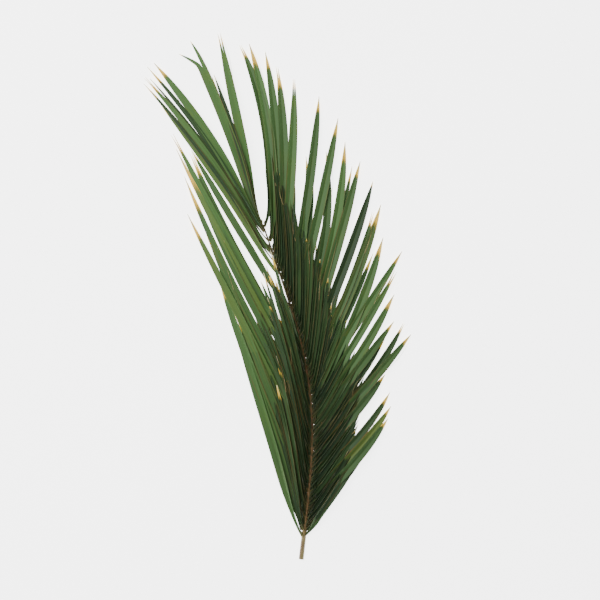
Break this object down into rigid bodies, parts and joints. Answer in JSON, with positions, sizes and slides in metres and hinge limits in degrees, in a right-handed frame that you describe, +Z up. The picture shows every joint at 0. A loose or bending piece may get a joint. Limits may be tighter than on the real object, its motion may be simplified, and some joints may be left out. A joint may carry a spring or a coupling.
{
  "type": "phoenix palm frond",
  "caption": "Cut feather-shaped palm frond lying flat: a slender curved rachis with dense narrow folded leaflets on both sides that run out to dry pointed tips.",
  "frame": {"origin": "the flat spot under the rachis on which the frond lies, just over halfway from the cut end to the tip", "axes": "+Y from the cut end towards the tip, +Z up out of the frond's upper face"},
  "size_m": [0.4077, 0.8014, 0.0228],
  "materials": {
    "leaflet_green": "satin leaf skin, dark green with straw-coloured dry tips",
    "rachis_tan": "satin fibrous stalk, green-brown, tan at the cut"
  },
  "bodies": {
    "root": {"frond": "leaflet_green"}
  },
  "joints": []
}
